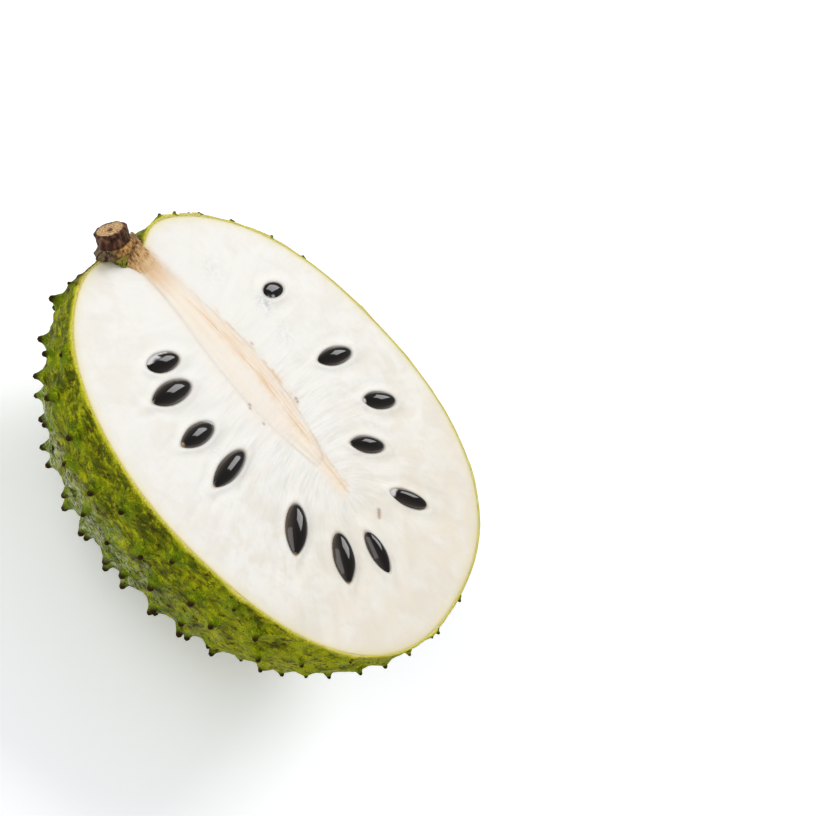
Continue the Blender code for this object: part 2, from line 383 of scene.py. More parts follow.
def tube(loops):
    """Quads between closed loops of as many point numbers each."""
    return quads_of(np.column_stack((loops, loops[:, 0])))


def fan(loop, tip):
    """Triangles from a closed loop of point numbers to one point."""
    return [(a, b, tip) for a, b in zip(loop.tolist(), np.roll(loop, -1).tolist())]


def lathe_faces(rings, sides):
    """Faces of a form made of rings of points, whose last two points are its ends."""
    loops = np.arange(rings * sides).reshape(rings, sides)
    return tube(loops) + fan(loops[0], rings * sides) + fan(loops[-1], rings * sides + 1)


def slab_faces(rows, columns):
    """Faces of a grid of points, of as many points under it, and of the wall between their edges."""
    grid = np.arange(rows * columns).reshape(rows, columns)
    edge = edge_of(grid)
    below = quads_of(grid.T + grid.size)
    return quads_of(grid) + below + tube(np.array((edge, edge + grid.size)))


def disc_grid(across):
    """Points of a square grid bent into a unit disc, its quads and the loop of its rim."""
    steps = np.linspace(-1, 1, across + 1)
    a, b = (side.ravel() for side in np.meshgrid(steps, steps, indexing="ij"))
    wide = np.abs(a) >= np.abs(b)
    radius = np.where(wide, a, b)
    safe = np.where(radius == 0, 1, radius)
    turn = np.where(wide, math.pi / 4 * b / safe, math.pi / 2 - math.pi / 4 * a / safe)
    disc = np.column_stack((radius * np.cos(turn), radius * np.sin(turn)))
    grid = np.arange(len(disc)).reshape(across + 1, across + 1)
    return disc, quads_of(grid), edge_of(grid)


def linked(name, data):
    """A new object of the scene, for a mesh, a light or a camera."""
    piece = bpy.data.objects.new(name, data)
    bpy.context.scene.collection.objects.link(piece)
    return piece


def point_mesh(name, points, faces, shares):
    """A mesh whose points are given round the middle of the cut face, with values for each of them."""
    mesh = bpy.data.meshes.new(name)
    mesh.from_pydata((np.asarray(points) + np.array(MIDDLE)).tolist(), [], faces)
    for label, values in shares.items():
        values = np.asarray(values, np.float32)
        kind, field = ("FLOAT_VECTOR", "vector") if values.ndim == 2 else ("FLOAT", "value")
        mesh.attributes.new(label, kind, "POINT").data.foreach_set(field, values.ravel())
    return mesh


def mesh_piece(name, points, faces, finish, **shares):
    """A closed mesh object with smooth faces that point outwards."""
    mesh = point_mesh(name, points, faces, shares)
    bm = bmesh.new()
    bm.from_mesh(mesh)
    bmesh.ops.recalc_face_normals(bm, faces=bm.faces)
    bm.to_mesh(mesh)
    bm.free()
    mesh.shade_smooth()
    mesh.materials.append(bpy.data.materials[finish])
    return linked(name, mesh)


def grown(name, points, tree, inputs, **shares):
    """Runs a tree of geometry nodes on loose points and returns the result as a plain mesh object."""
    seedbed = linked(name + "_points", point_mesh(name + "_points", points, [], shares))
    modifier = seedbed.modifiers.new("grow", "NODES")
    modifier.node_group = tree
    for item in tree.interface.items_tree:
        if item.in_out == "INPUT" and item.name in inputs:
            modifier[item.identifier] = inputs[item.name]
    graph = bpy.context.evaluated_depsgraph_get()
    result = bpy.data.meshes.new_from_object(seedbed.evaluated_get(graph))
    result.name = name
    bpy.data.objects.remove(seedbed)
    return linked(name, result)


def settle(piece, slot, *nodes):
    """Makes a finished piece move with the root, and hides the packed solids that it replaces."""
    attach(piece, "root")
    if nodes:
        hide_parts(*nodes)


# ---------------------------------------------------------------- the fruit's forms


def outline_radius(angle):
    """From the middle of the cut face to its edge, at angles from the blossom end."""
    to_blossom = np.cos(angle) > 0
    fullness = np.where(to_blossom, BLOSSOM_FULLNESS, STALK_FULLNESS)
    half_length = np.where(to_blossom, BLOSSOM_REACH, STALK_REACH)
    along = np.abs(np.cos(angle) / half_length) ** fullness
    across = np.abs(np.sin(angle) / HALF_WIDTH) ** fullness
    return (along + across) ** (-1 / fullness)


def patch(ways, middle, spread):
    """1 at the middle of a round patch of the skin, falling smoothly to 0 outside it."""
    return bell(np.arccos(np.clip(ways @ np.array(middle), -1, 1)), spread)


def on_fruit(ways, inset=0.0):
    """The points of the skin, or of a layer under it, that unit vectors from the middle meet."""
    reach = outline_radius(np.arctan2(ways[:, 1], ways[:, 0])) - inset
    reach += SHOULDER * patch(ways, SHOULDER_WAY, SHOULDER_SPREAD)
    reach -= DENT * patch(ways, DENT_WAY, DENT_SPREAD)
    depth = (DEPTH - inset) * (1 + BELLY_LEAN * ways[:, 0])
    return np.column_stack((reach * ways[:, 0], reach * ways[:, 1], depth * ways[:, 2]))


def outward_at(points):
    """Unit vectors straight out of the skin."""
    out = points / np.array((BLOSSOM_REACH, HALF_WIDTH, DEPTH)) ** 2
    return out / np.linalg.norm(out, axis=1, keepdims=True)


def bowl_rings(rim_ways, turns, inset):
    """Rings of points inside the skin, at angles down from the cut face."""
    rings = []
    for turn in turns:
        lowered = rim_ways * math.cos(turn)
        lowered[:, 2] = -math.sin(turn)
        ring = on_fruit(lowered, inset)
        ring[:, 2] = np.maximum(ring[:, 2], FLOOR + RIND)
        rings.append(ring)
    return rings


def hang_bowl(points, faces, rim, rings):
    """Hangs rings under the rim of a face and closes them at the bottom.

    Returns all the points, all the faces and the loops of point numbers, from the rim down.
    """
    tip = len(points) + len(rings) * len(rim)
    below = np.arange(len(points), tip).reshape(len(rings), len(rim))
    loops = np.vstack((rim, below))
    points = np.concatenate((points, *rings, [(0, 0, FLOOR + RIND)]))
    return points, faces + tube(loops) + fan(loops[-1], tip), loops


def kept_spines():
    """Foot and outward vector of the spines that the knife and the stalk leave on this half.

    A whole fruit's spines stand in golden-angle spirals round its long axis.
    """
    chance = random.Random(7)
    ways = []
    for number in range(SPINE_COUNT):
        along = 1 - 2 * (number + 0.5) / SPINE_COUNT
        round_axis = number * GOLDEN_ANGLE
        ring = math.sqrt(1 - along * along)
        way = Vector((along, ring * math.cos(round_axis), ring * math.sin(round_axis)))
        way += Vector(chance.gauss(0, SPINE_JITTER) for _ in range(3))
        ways.append(way.normalized())
    feet = on_fruit(np.array(ways))
    clear_of_stalk = np.linalg.norm(feet - np.array(STALK_FOOT), axis=1) > STALK_CLEARANCE
    kept = (feet[:, 2] < -CUT_CLEARANCE) & clear_of_stalk
    return feet[kept], outward_at(feet)[kept]


def fullness(feet):
    """Share of its full size that a spine reaches, less at the cut and the blossom end."""
    at_cut = 1 - smooth_step(-feet[:, 2], 1 * MM, 9 * MM)
    at_blossom = smooth_step(feet[:, 0], 5 * MM, 60 * MM)
    return (1 - (1 - CUT_SPINE_SHARE) * at_cut) * (1 - BLOSSOM_SPINE_LOSS * at_blossom)


def skin_height(points, rind):
    """How far the skin stands out, and how close each point is to a spine, from 0 to 1."""
    feet, _ = kept_spines()
    tree = KDTree(len(feet))
    for number, foot in enumerate(feet):
        tree.insert(foot, number)
    tree.balance()
    nearest = np.array([tree.find(point)[1] for point in points])
    offset = points - feet[nearest]
    far = np.linalg.norm(offset, axis=1)
    # Every flare reaches further on some of its sides than on others
    way = offset / np.maximum(far, 1e-6)[:, None]
    rays = bumps(1.6 * way + 5.3 * nearest[:, None], 1.0, 1)
    close = np.exp(-far / (rind.flare_reach * (1 + 0.7 * rays)))
    uneven = sum(share * bumps(points, size, seed) for share, size, seed in LUMPS)
    calm = 1 - CUT_CALM * (1 - smooth_step(-points[:, 2], 0, 4 * MM))
    flare = rind.flare * fullness(feet)[nearest]
    return flare * close + calm * rind.lumps * uneven, close


def scab_share(points):
    """1 on the dry scabs beside the stalk, 0 elsewhere."""
    away = np.linalg.norm(points - np.array(STALK_FOOT), axis=1)
    ragged = away + 7 * MM * bumps(points, 4 * MM, 6)
    ragged -= 5 * MM * smooth_step(STALK_FOOT.y - points[:, 1], 0, 6 * MM)
    return 1 - smooth_step(ragged, 10 * MM, 16 * MM)


def painted_sheen_share(points):
    """How much painted sheen the skin gets, standing for light that its wax catches at grazing angles:
    most low on the stalk's side.
    """
    low = smooth_step(12 * MM * bumps(points, 15 * MM, 8) - points[:, 2], 18 * MM, 42 * MM)
    return low**1.5 * (1 - 0.8 * smooth_step(points[:, 0], -15 * MM, 40 * MM))


def painted_light_share(points):
    """How far painted light lifts the skin to yellow-green: most at the blossom end."""
    ragged = points[:, 0] + 14 * MM * bumps(points, 12 * MM, 9)
    return 0.7 * smooth_step(ragged, -5 * MM, 65 * MM)


def core_line(share):
    """Middle and half width of the core at shares of its length from the stalk."""
    x = CORE_START.x + (CORE_TIP.x - CORE_START.x) * share
    y = CORE_START.y + (CORE_TIP.y - CORE_START.y) * share**CORE_BEND
    belly = CORE_BELLY * np.maximum(0, np.sin(math.pi * share**1.1)) ** 1.5
    half_width = CORE_STALK_HALF_WIDTH * (1 - share**3) + belly
    return np.column_stack((x, y)), np.maximum(half_width, CORE_TIP_HALF_WIDTH)


def from_core(flat):
    """Share along the core, distance across it and its half width, at points on the cut face."""
    share = np.clip((flat[:, 0] - CORE_START.x) / (CORE_TIP.x - CORE_START.x), 0, 1)
    middle, half_width = core_line(share)
    return share, flat[:, 1] - middle[:, 1], half_width


def fibre_way(flat):
    """Where points of the cut face lie along and across the fibres, which fan out from the core.

    The fibres are the hyperbolas of an ellipse's own coordinates, with the core's ends as foci.
    The first value runs along them, and the other two give a place on a circle across them.
    """
    to_start = np.linalg.norm(flat - np.array(CORE_START), axis=1)
    to_tip = np.linalg.norm(flat - np.array(CORE_TIP), axis=1)
    focal = (CORE_TIP - CORE_START).length / 2
    along = np.arccosh(np.maximum(1, (to_start + to_tip) / (2 * focal)))
    across = np.arccos(np.clip((to_start - to_tip) / (2 * focal), -1, 1))
    side = np.sign(flat[:, 1] - (CORE_START.y + CORE_TIP.y) / 2)
    return focal * np.column_stack((along, np.cos(across), side * np.sin(across)))


def seed_matrix(seed):
    x, y, turn, _, _, height, dip = seed
    turned = Matrix.Rotation(math.radians(turn), 4, "Z") @ Matrix.Rotation(math.radians(dip), 4, "Y")
    return Matrix.Translation(Vector((x, y, height)) * MM) @ turned


def off_seed(flat, seed):
    """How far points of the cut face lie outside a seed."""
    inverse = np.array(seed_matrix(seed).inverted())
    local = np.column_stack((on_level(flat), np.ones(len(flat)))) @ inverse.T
    half_length, half_width = seed[3] * MM / 2, seed[4] * MM / 2
    end = local[:, 0] / half_length
    slim = 1 - SEED_POINTEDNESS * np.clip(-end, 0, 1) ** 2
    across = local[:, 1] / (slim * half_width)
    deep = local[:, 2] / (slim * SEED_THICKNESS / 2)
    return (np.sqrt(end**2 + across**2 + deep**2) - 1) * half_width


def face_height(flat, pulp):
    """Height of the cut face over its own plane at points on it."""
    height = PULP_SWELL * bumps(on_level(flat), 22 * MM, 11)
    fibres = fibre_way(flat)
    coarse = bumps(fibres / np.array(COARSE_FIBRE), 1.0, 12)
    fine = bumps(fibres / np.array(FINE_FIBRE), 1.0, 13)
    height += pulp.fibre_depth * (coarse + 0.5 * fine)
    share, off_middle, half_width = from_core(flat)
    across = off_middle / half_width
    in_core = bell(across, 1.1, 4) * smooth_step(CORE_TIP.x + 4 * MM - flat[:, 0], 0, 8 * MM)
    lengthwise = np.column_stack((flat[:, 0] / (18 * MM), across * 3.2, share))
    height += in_core * CORE_GRAIN * bumps(lengthwise, 1.0, 14)
    height -= CORE_GROOVE * bell(np.abs(across) - 1.05, 0.22) * smooth_step(1 - share, 0, 0.2)
    for seed in SEEDS:
        off = off_seed(flat, seed)
        height += pulp.lip * bell(off - 0.9 * MM, 0.8 * MM)
        height -= SOCKET_RING * bell(off - 3.4 * MM, 1.6 * MM)
        height -= SOCKET_DEPTH * smooth_step(-off, -0.1 * MM, 1.1 * MM)
    return height


# ---------------------------------------------------------------- materials


def new_finish(name):
    """The node tree and the shader of a new material."""
    material = bpy.data.materials.new(name)
    material.use_nodes = True
    return material.node_tree, material.node_tree.nodes["Principled BSDF"]


def grain(tree, way, size, stretch=(1, 1, 1), shift=0.0, detail=3, roughness=0.5, distortion=0.0):
    """Random values in bumps of a size, longer along the axes of way where stretch is small."""
    moved = {"Vector": way, "Location": (shift,) * 3, "Scale": stretch}
    inputs = {
        "Vector": add(tree, "ShaderNodeMapping", moved),
        "Scale": 1 / size,
        "Detail": detail,
        "Roughness": roughness,
        "Distortion": distortion,
    }
    return add(tree, "ShaderNodeTexNoise", inputs)


def coat(tree, colour, layers, kind="SMOOTHSTEP"):
    """Lays colours over a first one, each as strongly as its factors multiplied.

    A factor is a number, a socket or an attribute's name, or a socket or a name with the values
    at which the colour starts and is full.
    """
    if not isinstance(colour, bpy.types.NodeSocket):
        colour = opaque(colour)
    for laid, *factors in layers:
        strength = None
        for factor in factors:
            value, *span = factor if isinstance(factor, tuple) else (factor,)
            if isinstance(value, str):
                value = add(tree, "ShaderNodeAttribute", output="Fac", attribute_name=value)
            if span:
                ramp = {"Value": value, 1: span[0], 2: span[1]}
                value = add(tree, "ShaderNodeMapRange", ramp, interpolation_type=kind)
            if strength is not None:
                product = {0: strength, 1: value}
                value = add(tree, "ShaderNodeMath", product, operation="MULTIPLY")
            strength = value
        top = laid if isinstance(laid, bpy.types.NodeSocket) else opaque(laid)
        colour = add(tree, "ShaderNodeMix", {0: strength, 6: colour, 7: top}, 2, data_type="RGBA")
    return colour


def skin_material(rind):
    """Living soursop skin: leathery, waxy and mottled, dull on the scabs and the dry knobs."""
    tree, shader = new_finish("waxy_spined_skin")
    place = add(tree, "ShaderNodeTexCoord", output="Object")
    mottle = grain(tree, place, 7.5 * MM, detail=5, roughness=0.6)
    leaf = grain(tree, place, 2.3 * MM, (0.7, 1, 1), 3.0, detail=5, roughness=0.62)
    fleck = grain(tree, place, 1.3 * MM, (0.6, 1, 1), 17.0, detail=4, roughness=0.65)
    streak = grain(tree, place, 0.75 * MM, (0.3, 1, 1), 7.0, roughness=0.6)
    sheen_region = grain(tree, place, 9 * MM, shift=5.0, roughness=0.55)
    speck = grain(tree, place, 1.5 * MM, (0.7, 1, 1), 11.0, detail=2, roughness=0.55)
    brown_region = grain(tree, place, 6 * MM, shift=13.0, roughness=0.55)
    # The skin's real cells are far finer: these are as coarse as they need to be to show
    cell = {"Vector": place, "Scale": 1 / (0.9 * MM)}
    cells = add(tree, "ShaderNodeTexVoronoi", cell, feature="DISTANCE_TO_EDGE")
    rise = add(tree, "ShaderNodeAttribute", output="Fac", attribute_name="rise")
    worn = add(tree, "ShaderNodeMath", {0: leaf, 1: 0.6, 2: rise}, operation="MULTIPLY_ADD")
    # Patches, flares with partly painted shade, painted shade between the flares, painted light towards
    # the blossom end, small mottling, painted sheen streaks, brown specks, the cut and the knobs
    layers = (
        (rind.deep_green, (mottle, 0.5, 0.36), 0.95),
        (rind.lime, (mottle, 0.51, 0.65), 0.65),
        # Flares: their own green, partly painted shade for their relief
        (rind.spine_green, ("near_spine", 0.1, 0.45), 0.85),
        # Painted shade in the hollows between the flares, away from the spines
        (rind.deep_green, ("near_spine", 0.22, 0.08), (leaf, 0.6, 0.4), 0.7),
        # Painted light: the skin lighter yellow-green towards the blossom end
        (rind.lime, "ripe", (mottle, 0.3, 0.5)),
        (rind.lime, ("edge", 0.1, 0.6), 0.8),
        (rind.deep_green, (leaf, 0.46, 0.3), 0.9),
        (rind.spine_green, (leaf, 0.54, 0.42), 0.3),
        (rind.lime, (leaf, 0.54, 0.68), 0.6),
        (rind.deep_green, (cells, 0.12, 0.02), 0.25),
        (rind.yellow, (fleck, 0.56, 0.7), 0.5),
        (rind.speck, (fleck, 0.46, 0.3), 0.5),
        # Painted sheen: pale streaks, low on the stalk's side
        (rind.painted_sheen, (streak, 0.42, 0.6), (sheen_region, 0.34, 0.55), "low", 0.8),
        (rind.speck, (speck, 0.56, 0.64), (brown_region, 0.44, 0.56), 0.85),
        (rind.cut_edge, ("cut", 0.0, 0.2)),
        (rind.cut_pale, ("cut", 0.4, 0.62)),
        (rind.speck, "scab", (leaf, 0.1, 0.48)),
        (rind.knob_colour, (worn, 0.62, 1.12)),
    )
    scale = {"Value": cells, 1: 0.0, 2: 0.25}
    scales = add(tree, "ShaderNodeMapRange", scale, interpolation_type="SMOOTHSTEP")
    relief = leaf
    for value, share in ((scales, 0.25), (streak, 0.5)):
        raised = {0: value, 1: share, 2: relief}
        relief = add(tree, "ShaderNodeMath", raised, operation="MULTIPLY_ADD")
    look = {
        "Base Color": coat(tree, rind.green, layers),
        "Roughness": add(tree, "ShaderNodeMapRange", {"Value": leaf, 3: 0.4, 4: 0.65}),
        "Specular IOR Level": 0.03,
        "Normal": add(
            tree, "ShaderNodeBump", {"Height": relief, "Strength": 1.0, "Distance": 1.0 * MM}
        ),
    }
    set_inputs(tree, shader, look)


def pulp_material(pulp):
    """Ripe wet pulp: white fibres that let light in, with a thin film of juice."""
    tree, shader = new_finish("wet_fibrous_pulp")
    place = add(tree, "ShaderNodeTexCoord", output="Object")
    fibre, core_way = (
        add(tree, "ShaderNodeAttribute", output="Vector", attribute_name=name)
        for name in ("fibre", "core_way")
    )
    broad = grain(tree, fibre, 2.6 * MM, (2.6 / 16, 1, 1), 2.6 * MM, detail=5, distortion=0.35)
    fine = grain(tree, fibre, 0.9 * MM, (0.9 / 12, 1, 1), 1.8 * MM, detail=4, distortion=0.35)
    strand = grain(tree, core_way, 0.55 * MM, (0.55 / 9, 1, 1), 1.65 * MM, detail=4, distortion=0.35)
    wide, small, spotty = (
        grain(tree, place, size * MM, shift=shift, detail=5, distortion=0.5)
        for size, shift in ((10, 2.0), (3.5, 9.0), (1.6, 4.0))
    )
    layers = (
        (pulp.glassy, (wide, 0.42, 0.66), "juicy"),
        (pulp.glassy, (small, 0.46, 0.7), "juicy", 0.7),
        (pulp.grey, (broad, 0.48, 0.66), "silk", 0.55),
        (pulp.grey, (fine, 0.5, 0.7), "silk", 0.45),
        (pulp.cream, "cream"),
        (pulp.peach, "peach", (strand, 0.1, 0.5)),
        (pulp.tan, "tan", (strand, 0.35, 0.68)),
        # Spots of painted shade
        (pulp.painted_shade_spot, "painted_shade_spot", (spotty, 0.4, 0.6)),
        # Painted contact shadow round the seeds
        (pulp.seed_contact_shadow, "seed_contact_shadow", 0.6),
        (pulp.fleck, "fleck", 0.8),
        (pulp.tan, "root", (strand, -0.5, 0.55)),
        (pulp.edge, "rim"),
    )
    silk = add(tree, "ShaderNodeAttribute", output="Fac", attribute_name="silk")
    relief = add(tree, "ShaderNodeMath", {0: fine, 1: silk}, operation="MULTIPLY")
    look = {
        "Base Color": coat(tree, pulp.white, layers),
        "Roughness": 0.5,
        "IOR": 1.38,
        "Subsurface Weight": 0.35,
        "Subsurface Radius": (1.0, 0.8, 0.6),
        "Subsurface Scale": 2.5 * MM,
        "Coat Weight": 0.12,
        "Coat Roughness": 0.2,
        "Normal": add(
            tree, "ShaderNodeBump", {"Height": relief, "Strength": 0.35, "Distance": 0.4 * MM}
        ),
    }
    set_inputs(tree, shader, look)


def seed_material(seeds):
    """A ripe seed's hard, naturally polished coat, with a paler scar at its pointed end."""
    tree, shader = new_finish("polished_seed_coat")
    # The edge band is a painted reflection of the pulp
    layers = ((seeds.edge, "seam"), (seeds.scar, "scar"), (seeds.film, "film"))
    colour = coat(tree, seeds.black, layers)
    set_inputs(tree, shader, {"Base Color": colour, "Roughness": seeds.roughness, "IOR": 1.52})


def bark_material(stalk):
    """Dry fissured bark, with the fresh pale wood of the cut end."""
    tree, shader = new_finish("dry_bark_and_cut_wood")
    way = add(tree, "ShaderNodeAttribute", output="Vector", attribute_name="bark_way")
    ridges = grain(tree, way, 1.3 * MM, (1, 1, 1.3 / 2.4), detail=5)
    pores = grain(tree, way, 0.6 * MM, detail=4, roughness=0.6)
    ring = {"Vector": way, "Scale": 0.3 / MM, "Distortion": 3.0, "Detail": 2}
    rings = add(tree, "ShaderNodeTexWave", ring, "Fac", wave_type="RINGS", rings_direction="Z")
    off_axis = add(tree, "ShaderNodeVectorMath", {0: way, 1: (1, 1, 0)}, operation="MULTIPLY")
    radius = add(tree, "ShaderNodeVectorMath", {0: off_axis}, "Value", operation="LENGTH")
    end_layers = (
        (stalk.pith, (pores, 0.46, 0.6), 0.85),
        (stalk.pith, (rings, 0.4, 0.9), 0.35),
        (stalk.bark, (radius, 1.3 * MM, 0.6 * MM), 0.8),
    )
    wood = coat(tree, stalk.wood, end_layers, "LINEAR")
    lip, torn, skin = (
        coat(tree, furrow, ((ridge, (ridges, start, full)),), "LINEAR")
        for furrow, ridge, start, full in (
            (stalk.bark_dark, stalk.collar, 0.4, 0.56),
            (stalk.torn_dark, stalk.torn, 0.38, 0.58),
            (stalk.bark_dark, stalk.skin, 0.38, 0.54),
        )
    )
    layers = (
        (stalk.bark, (ridges, 0.3, 0.5)),
        (stalk.bark_light, (ridges, 0.5, 0.72)),
        (lip, ("collar", 0.2, 0.6), 0.85),
        (torn, "torn"),
        (skin, "skin"),
        (wood, "cut_end"),
    )
    look = {
        "Base Color": coat(tree, stalk.bark_dark, layers, "LINEAR"),
        "Roughness": 0.75,
        "Specular IOR Level": 0.2,
        "Normal": add(
            tree, "ShaderNodeBump", {"Height": ridges, "Strength": 0.8, "Distance": 0.6 * MM}
        ),
    }
    set_inputs(tree, shader, look)


def torn_material(stalk):
    """Dry torn fibres of the stalk's root, golden brown with dark hollows: painted shade in the holes
    of their bed.
    """
    tree, shader = new_finish("torn_stalk_fibres")
    place = add(tree, "ShaderNodeTexCoord", output="Object")
    strand = grain(tree, place, 0.9 * MM, (0.9 / 2.2, 1, 1), detail=5, roughness=0.65)
    layers = (
        (stalk.torn, (strand, 0.26, 0.48)),
        (stalk.torn_light, (strand, 0.48, 0.66)),
        # Painted shade in the bed's holes, and darker towards the stalk
        (stalk.torn_dark, "hollow"),
        (stalk.torn_end, "fade"),
    )
    look = {
        "Base Color": coat(tree, stalk.torn_dark, layers, "LINEAR"),
        "Roughness": 0.7,
        "Normal": add(
            tree, "ShaderNodeBump", {"Height": strand, "Strength": 0.6, "Distance": 0.3 * MM}
        ),
    }
    set_inputs(tree, shader, look)


# ---------------------------------------------------------------- rind and spines

RIND_GRID = 268
INNER_RINGS = 6
KNIFE_DROP = 0.12 * MM  # how far the cut's outer edge lies under its plane
KNIFE_SHOULDER = 0.35 * MM  # width of the cut's rounded outer edge
INNER_DROP = 0.3 * MM  # how far the cut's inner edge lies under its plane
EDGE_FADE = 1.2 * MM  # how far down the skin is paler below the cut
SCAB_HEIGHT = 0.8 * MM


def make_rind(rind):
    """The skin with a flare under every spine, the cut edge and the smooth inner wall."""
    disc, faces, rim = disc_grid(RIND_GRID)
    squeeze = np.minimum(np.sum(disc**2, axis=1), 1)
    ways = np.column_stack((disc * np.sqrt(2 - squeeze)[:, None], squeeze - 1))
    smooth = on_fruit(ways)
    height, close = skin_height(smooth, rind)
    scab = scab_share(smooth)
    height += scab * SCAB_HEIGHT * np.abs(bumps(smooth, 2.2 * MM, 5))
    skin = smooth + outward_at(smooth) * height[:, None]
    skin[:, 2] = np.maximum(skin[:, 2], FLOOR)
    skin[rim, 2] = -KNIFE_DROP

    # A second ring close inside the shoulder keeps the shading of the cut's flat part even
    shoulder = drawn_in(skin[rim], KNIFE_SHOULDER) + np.array((0, 0, KNIFE_DROP))
    inner_edge = on_fruit(ways[rim], RIND) - np.array((0, 0, INNER_DROP))
    turns = math.pi / 2 * np.arange(1, INNER_RINGS + 1) / (INNER_RINGS + 0.5)
    wall = bowl_rings(ways[rim], turns, RIND)
    rings = [shoulder, drawn_in(shoulder, 0.1 * MM), inner_edge, *wall]
    points, faces, loops = hang_bowl(skin, faces, rim, rings)

    extra = len(points) - len(skin)
    cut = np.concatenate((np.zeros(len(skin)), np.ones(extra)))
    for loop, share in zip(loops, (0.14, 0.4, 0.45)):
        cut[loop] = share
    none = np.zeros(extra)
    return mesh_piece(
        "rind",
        points,
        faces,
        "waxy_spined_skin",
        near_spine=np.concatenate((close, none)),
        # low: where the painted sheen streaks go
        low=np.concatenate((painted_sheen_share(skin), none)),
        # ripe: painted light towards the blossom end
        ripe=np.concatenate((painted_light_share(skin), none)),
        edge=np.concatenate((np.exp(skin[:, 2] / EDGE_FADE), np.ones(extra))),
        scab=np.concatenate((scab, 0.7 * scab[rim], np.zeros(extra - len(rim)))),
        rise=np.zeros(len(points)),
        cut=cut,
    )


def shoot_tree():
    """Geometry nodes that set a tapered shoot on every point, leaning to the blossom end."""
    tree = bpy.data.node_groups.new("shoots", "GeometryNodeTree")
    sockets = [("Geometry", "Geometry")]
    sockets += [(f"{label} Radius", "Float") for label in ("Foot", "Neck", "Knob")]
    sockets += [("Height", "Float"), ("Hook", "Float"), ("Seed", "Int"), ("Sides", "Int")]
    for label, kind in [*sockets, ("Skin", "Material")]:
        tree.interface.new_socket(label, in_out="INPUT", socket_type=f"NodeSocket{kind}")
    tree.interface.new_socket("Geometry", in_out="OUTPUT", socket_type="NodeSocketGeometry")
    given = tree.nodes.new("NodeGroupInput").outputs

    line = add(tree, "GeometryNodeCurvePrimitiveLine")
    axis = add(tree, "GeometryNodeResampleCurve", {"Curve": line, "Count": 9})
    share = add(tree, "GeometryNodeSplineParameter")
    values = {socket.name: socket for socket in given}
    values["share"] = share
    for label, low, high, start, end, kind in (
        ("fall", 0, 0.85, 1, 0, "LINEAR"),
        ("swelling", 0.52, 0.76, 0, 1, "SMOOTHSTEP"),
        ("closing", 0.8, 1, 0, 1, "LINEAR"),
    ):
        ramp = {"Value": share, 1: low, 2: high, 3: start, 4: end}
        values[label] = add(tree, "ShaderNodeMapRange", ramp, interpolation_type=kind)
    for label, operation, *operands in (
        ("rise", "MULTIPLY", "share", "Height"),
        ("curl", "POWER", "share", 2.0),
        ("bend", "MULTIPLY", "curl", "Hook"),
        ("flare", "POWER", "fall", 1.5),
        ("spread", "SUBTRACT", "Foot Radius", "Neck Radius"),
        ("slope", "MULTIPLY_ADD", "spread", "flare", "Neck Radius"),
        ("swell", "SUBTRACT", "Knob Radius", "Neck Radius"),
        ("bulb", "MULTIPLY_ADD", "swell", "swelling", "slope"),
        ("top", "POWER", "closing", 2.0),
        ("taken", "MULTIPLY", "top", 0.97),
        ("left", "SUBTRACT", 1.0, "taken"),
        ("round", "SQRT", "left"),
        ("radius", "MULTIPLY", "bulb", "round"),
    ):
        inputs = {at: values.get(operand, operand) for at, operand in enumerate(operands)}
        values[label] = add(tree, "ShaderNodeMath", inputs, operation=operation)
    place = add(tree, "ShaderNodeCombineXYZ", {"X": values["bend"], "Z": values["rise"]})
    axis = add(tree, "GeometryNodeSetPosition", {"Geometry": axis, "Position": place})
    rise = {0: axis, "Name": "rise", "Value": share}
    axis = add(tree, "GeometryNodeStoreNamedAttribute", rise, data_type="FLOAT")
    radius = values["radius"]
    axis = add(tree, "GeometryNodeSetCurveRadius", {"Curve": axis, "Radius": radius})
    circle = {"Resolution": given["Sides"], "Radius": 1.0}
    ring = add(tree, "GeometryNodeCurvePrimitiveCircle", circle)
    sweep = {"Curve": axis, "Profile Curve": ring, "Scale": radius, "Fill Caps": True}
    shoot = add(tree, "GeometryNodeCurveToMesh", sweep)

    outward, size = (
        add(tree, "GeometryNodeInputNamedAttribute", {"Name": name}, "Attribute", data_type=kind)
        for name, kind in (("outward", "FLOAT_VECTOR"), ("size", "FLOAT"))
    )
    upright = add(tree, "FunctionNodeAlignRotationToVector", {"Vector": outward}, axis="Z")
    lean = {"Rotation": upright, "Vector": (1, 0, 0)}
    leaning = add(tree, "FunctionNodeAlignRotationToVector", lean, axis="X", pivot_axis="Z")
    spread = {0: (-0.22, -0.22, -0.9), 1: (0.22, 0.22, 0.9), "Seed": given["Seed"]}
    wobble = add(tree, "FunctionNodeRandomValue", spread, "Value", data_type="FLOAT_VECTOR")
    turn = {0: leaning, 1: wobble}
    turned = add(tree, "FunctionNodeRotateRotation", turn, rotation_space="LOCAL")
    crop = {"Points": given["Geometry"], "Instance": shoot, "Rotation": turned, "Scale": size}
    placed = add(tree, "GeometryNodeInstanceOnPoints", crop)
    real = add(tree, "GeometryNodeRealizeInstances", {"Geometry": placed})
    smooth = add(tree, "GeometryNodeSetShadeSmooth", {0: real})
    skin = {"Geometry": smooth, "Material": given["Skin"]}
    finished = add(tree, "GeometryNodeSetMaterial", skin)
    tree.links.new(finished, tree.nodes.new("NodeGroupOutput").inputs[0])
    return tree


SPINE_ROOT = 0.3  # how far up the flare a spine starts, as a share of the flare
RIM_SPINE_DROP = 0.016  # how far the cut's spines point down, as a share of their reach
RIM_SPINE_SIZE = 0.5
SPINE_FOOT = 3.0 * MM
SPINE_SIZES = (0.8, 1.12)


